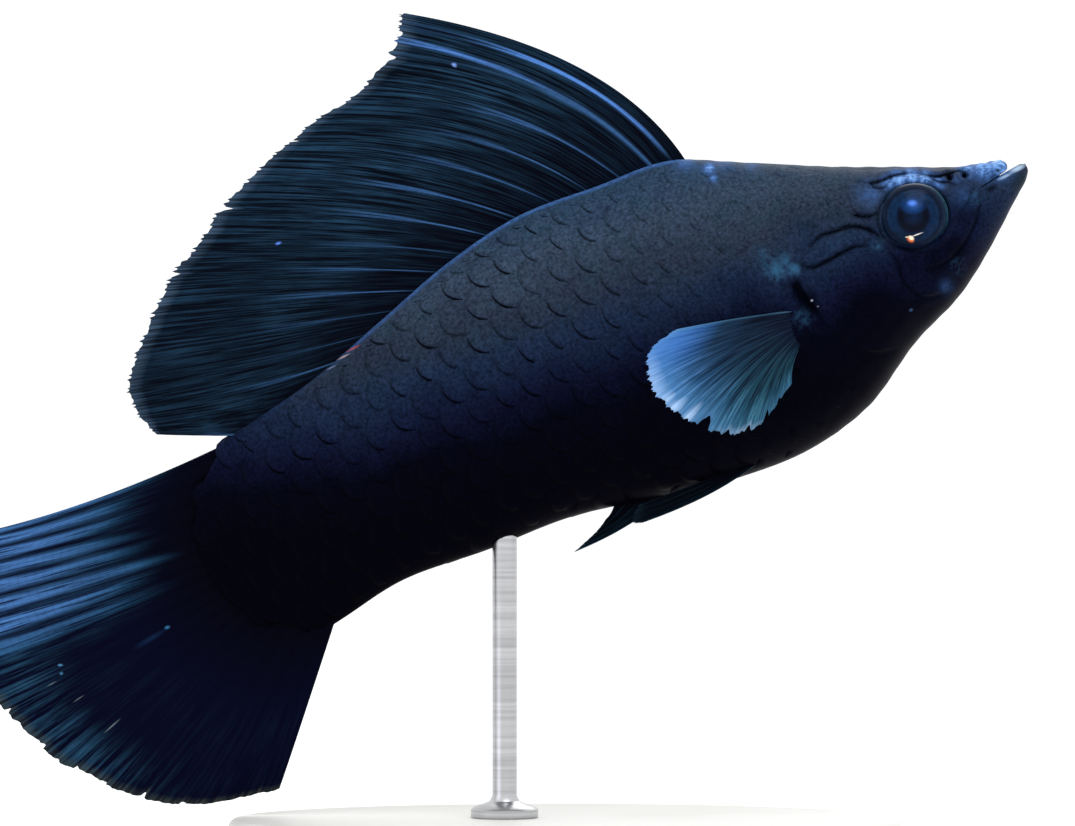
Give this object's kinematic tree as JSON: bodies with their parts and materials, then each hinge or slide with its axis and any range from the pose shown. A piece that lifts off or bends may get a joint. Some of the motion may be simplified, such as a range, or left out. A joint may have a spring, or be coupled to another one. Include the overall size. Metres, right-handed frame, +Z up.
{
  "type": "black molly",
  "caption": "Still, life-size model of a male black sailfin molly swimming nose up, with its sail, tail, paired fins and gonopodium, held on a plain oval display stand.",
  "frame": {"origin": "centre of the stand base's underside, on the table", "axes": "+X towards the fish's nose, +Y to the fish's left, +Z up"},
  "size_m": [0.0973, 0.04, 0.0768],
  "materials": {
    "skin": "satin",
    "eye": "gloss",
    "fin": "satin",
    "pale_fin": "satin",
    "rod": "brushed",
    "base": "satin"
  },
  "bodies": {
    "root": {"head": "skin", "gill_cover_left": "skin", "gill_cover_right": "skin", "trunk": "skin", "tail_stem": "skin", "eye_left": "eye", "eye_right": "eye", "dorsal_fin": "fin", "tail_fin": "fin", "gonopodium": "fin", "pelvic_fin_left": "fin", "pelvic_fin_right": "fin", "pectoral_fin_left": "pale_fin", "pectoral_fin_right": "pale_fin", "stand_rod": "rod", "stand_base": "base"}
  },
  "joints": []
}
